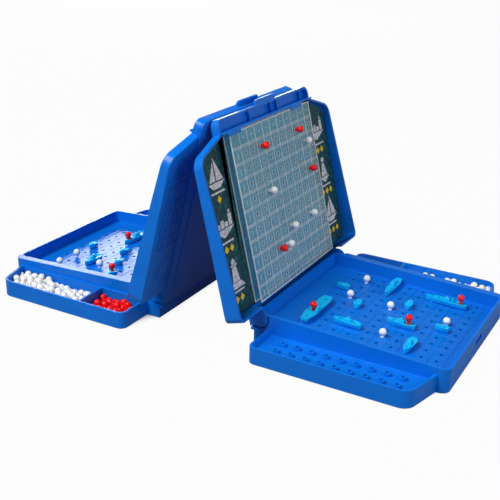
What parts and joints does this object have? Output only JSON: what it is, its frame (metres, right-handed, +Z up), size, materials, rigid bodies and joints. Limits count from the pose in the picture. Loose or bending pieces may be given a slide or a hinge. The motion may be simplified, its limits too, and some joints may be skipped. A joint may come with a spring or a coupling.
{
  "type": "fleet guessing case",
  "caption": "Two folding fleet-guessing game cases back to back, lids open, with peg boards, clear target panels, ships and ball-headed pegs.",
  "frame": {"origin": "on the table, midway between the two cases", "axes": "+X towards the right-hand case's player, +Y across the cases towards the right-hand case's peg tray, +Z up"},
  "size_m": [0.468, 0.261, 0.2055],
  "materials": {
    "case_blue": "satin blue moulded plastic",
    "ship_blue": "satin light blue moulded plastic",
    "peg_white": "smooth white plastic",
    "peg_red": "smooth red plastic",
    "clear_blue": "clear pale blue moulded plastic",
    "card_teal": null
  },
  "bodies": {
    "right_base": {"right_base": "case_blue"},
    "right_lid": {"right_lid": "case_blue", "right_card": "card_teal", "right_target_panel": "clear_blue"},
    "left_base": {"left_base": "case_blue"},
    "left_lid": {"left_lid": "case_blue", "left_card": "card_teal", "left_target_panel": "clear_blue"},
    "right_carrier": {"right_carrier": "ship_blue"},
    "right_cruiser_front": {"right_cruiser_front": "ship_blue"},
    "right_cruiser_far": {"right_cruiser_far": "ship_blue"},
    "right_destroyer_back": {"right_destroyer_back": "ship_blue"},
    "right_destroyer_mid": {"right_destroyer_mid": "ship_blue"},
    "right_destroyer_front": {"right_destroyer_front": "ship_blue"},
    "right_patrol_boat_back": {"right_patrol_boat_back": "ship_blue"},
    "right_patrol_boat_near": {"right_patrol_boat_near": "ship_blue"},
    "right_patrol_boat_mid": {"right_patrol_boat_mid": "ship_blue"},
    "right_patrol_boat_front": {"right_patrol_boat_front": "ship_blue"},
    "right_carrier_hit_peg": {"right_carrier_hit_peg": "peg_red"},
    "right_cruiser_hit_peg": {"right_cruiser_hit_peg": "peg_red"},
    "right_destroyer_hit_peg": {"right_destroyer_hit_peg": "peg_red"},
    "right_board_white_pegs": {"right_board_white_pegs": "peg_white"},
    "right_target_red_pegs": {"right_target_red_pegs": "peg_red"},
    "right_target_white_pegs": {"right_target_white_pegs": "peg_white"},
    "right_tray_white_pegs": {"right_tray_white_pegs": "peg_white"},
    "right_tray_red_pegs": {"right_tray_red_pegs": "peg_red"},
    "left_cruiser": {"left_cruiser": "ship_blue"},
    "left_destroyer": {"left_destroyer": "ship_blue"},
    "left_patrol_boat_front": {"left_patrol_boat_front": "ship_blue"},
    "left_patrol_boat_mid": {"left_patrol_boat_mid": "ship_blue"},
    "left_patrol_boat_near": {"left_patrol_boat_near": "ship_blue"},
    "left_patrol_boat_corner": {"left_patrol_boat_corner": "ship_blue"},
    "left_cruiser_hit_peg": {"left_cruiser_hit_peg": "peg_red"},
    "left_patrol_boat_hit_peg": {"left_patrol_boat_hit_peg": "peg_red"},
    "left_board_white_pegs": {"left_board_white_pegs": "peg_white"},
    "left_tray_white_pegs": {"left_tray_white_pegs": "peg_white"},
    "left_tray_red_pegs": {"left_tray_red_pegs": "peg_red"}
  },
  "joints": [
    {"name": "cases_apart", "type": "slide", "parent": "right_base", "child": "left_base", "axis": [-1, 0, 0], "range_m": [0, 0.1]},
    {"name": "right_lid_hinge", "type": "hinge", "parent": "right_base", "child": "right_lid", "pos_m": [0.0552, 0.0035, 0.0241], "axis": [0, 1, 0], "range_deg": [0, 70]},
    {"name": "left_lid_hinge", "type": "hinge", "parent": "left_base", "child": "left_lid", "pos_m": [-0.0552, -0.0035, 0.0241], "axis": [0, -1, 0], "range_deg": [0, 70]},
    {"name": "right_carrier_lift", "type": "slide", "parent": "right_base", "child": "right_carrier", "axis": [0.0436, 0, 0.999], "range_m": [0, 0.006]},
    {"name": "right_cruiser_front_lift", "type": "slide", "parent": "right_base", "child": "right_cruiser_front", "axis": [0.0436, 0, 0.999], "range_m": [0, 0.006]},
    {"name": "right_cruiser_far_lift", "type": "slide", "parent": "right_base", "child": "right_cruiser_far", "axis": [0.0436, 0, 0.999], "range_m": [0, 0.006]},
    {"name": "right_destroyer_back_lift", "type": "slide", "parent": "right_base", "child": "right_destroyer_back", "axis": [0.0436, 0, 0.999], "range_m": [0, 0.006]},
    {"name": "right_destroyer_mid_lift", "type": "slide", "parent": "right_base", "child": "right_destroyer_mid", "axis": [0.0436, 0, 0.999], "range_m": [0, 0.006]},
    {"name": "right_destroyer_front_lift", "type": "slide", "parent": "right_base", "child": "right_destroyer_front", "axis": [0.0436, 0, 0.999], "range_m": [0, 0.006]},
    {"name": "right_patrol_boat_back_lift", "type": "slide", "parent": "right_base", "child": "right_patrol_boat_back", "axis": [0.0436, 0, 0.999], "range_m": [0, 0.006]},
    {"name": "right_patrol_boat_near_lift", "type": "slide", "parent": "right_base", "child": "right_patrol_boat_near", "axis": [0.0436, 0, 0.999], "range_m": [0, 0.006]},
    {"name": "right_patrol_boat_mid_lift", "type": "slide", "parent": "right_base", "child": "right_patrol_boat_mid", "axis": [0.0436, 0, 0.999], "range_m": [0, 0.006]},
    {"name": "right_patrol_boat_front_lift", "type": "slide", "parent": "right_base", "child": "right_patrol_boat_front", "axis": [0.0436, 0, 0.999], "range_m": [0, 0.006]},
    {"name": "right_carrier_hit_peg_pull", "type": "slide", "parent": "right_carrier", "child": "right_carrier_hit_peg", "axis": [0.0436, 0, 0.999], "range_m": [0, 0.006]},
    {"name": "right_cruiser_hit_peg_pull", "type": "slide", "parent": "right_cruiser_front", "child": "right_cruiser_hit_peg", "axis": [0.0436, 0, 0.999], "range_m": [0, 0.006]},
    {"name": "right_destroyer_hit_peg_pull", "type": "slide", "parent": "right_destroyer_mid", "child": "right_destroyer_hit_peg", "axis": [0.0436, 0, 0.999], "range_m": [0, 0.006]},
    {"name": "right_board_white_pegs_pull", "type": "slide", "parent": "right_base", "child": "right_board_white_pegs", "axis": [0.0436, 0, 0.999], "range_m": [0, 0.006]},
    {"name": "right_target_red_pegs_pull", "type": "slide", "parent": "right_lid", "child": "right_target_red_pegs", "axis": [0.9715, 0, 0.2368], "range_m": [0, 0.008]},
    {"name": "right_target_white_pegs_pull", "type": "slide", "parent": "right_lid", "child": "right_target_white_pegs", "axis": [0.9715, 0, 0.2368], "range_m": [0, 0.008]},
    {"name": "right_tray_white_pegs_lift", "type": "slide", "parent": "right_base", "child": "right_tray_white_pegs", "axis": [0, 0, 1], "range_m": [0, 0.01]},
    {"name": "right_tray_red_pegs_lift", "type": "slide", "parent": "right_base", "child": "right_tray_red_pegs", "axis": [0, 0, 1], "range_m": [0, 0.01]},
    {"name": "left_cruiser_lift", "type": "slide", "parent": "left_base", "child": "left_cruiser", "axis": [-0.0436, 0, 0.999], "range_m": [0, 0.006]},
    {"name": "left_destroyer_lift", "type": "slide", "parent": "left_base", "child": "left_destroyer", "axis": [-0.0436, 0, 0.999], "range_m": [0, 0.006]},
    {"name": "left_patrol_boat_front_lift", "type": "slide", "parent": "left_base", "child": "left_patrol_boat_front", "axis": [-0.0436, 0, 0.999], "range_m": [0, 0.006]},
    {"name": "left_patrol_boat_mid_lift", "type": "slide", "parent": "left_base", "child": "left_patrol_boat_mid", "axis": [-0.0436, 0, 0.999], "range_m": [0, 0.006]},
    {"name": "left_patrol_boat_near_lift", "type": "slide", "parent": "left_base", "child": "left_patrol_boat_near", "axis": [-0.0436, 0, 0.999], "range_m": [0, 0.006]},
    {"name": "left_patrol_boat_corner_lift", "type": "slide", "parent": "left_base", "child": "left_patrol_boat_corner", "axis": [-0.0436, 0, 0.999], "range_m": [0, 0.006]},
    {"name": "left_cruiser_hit_peg_pull", "type": "slide", "parent": "left_cruiser", "child": "left_cruiser_hit_peg", "axis": [-0.0436, 0, 0.999], "range_m": [0, 0.006]},
    {"name": "left_patrol_boat_hit_peg_pull", "type": "slide", "parent": "left_patrol_boat_corner", "child": "left_patrol_boat_hit_peg", "axis": [-0.0436, 0, 0.999], "range_m": [0, 0.006]},
    {"name": "left_board_white_pegs_pull", "type": "slide", "parent": "left_base", "child": "left_board_white_pegs", "axis": [-0.0436, 0, 0.999], "range_m": [0, 0.006]},
    {"name": "left_tray_white_pegs_lift", "type": "slide", "parent": "left_base", "child": "left_tray_white_pegs", "axis": [0, 0, 1], "range_m": [0, 0.01]},
    {"name": "left_tray_red_pegs_lift", "type": "slide", "parent": "left_base", "child": "left_tray_red_pegs", "axis": [0, 0, 1], "range_m": [0, 0.01]}
  ]
}
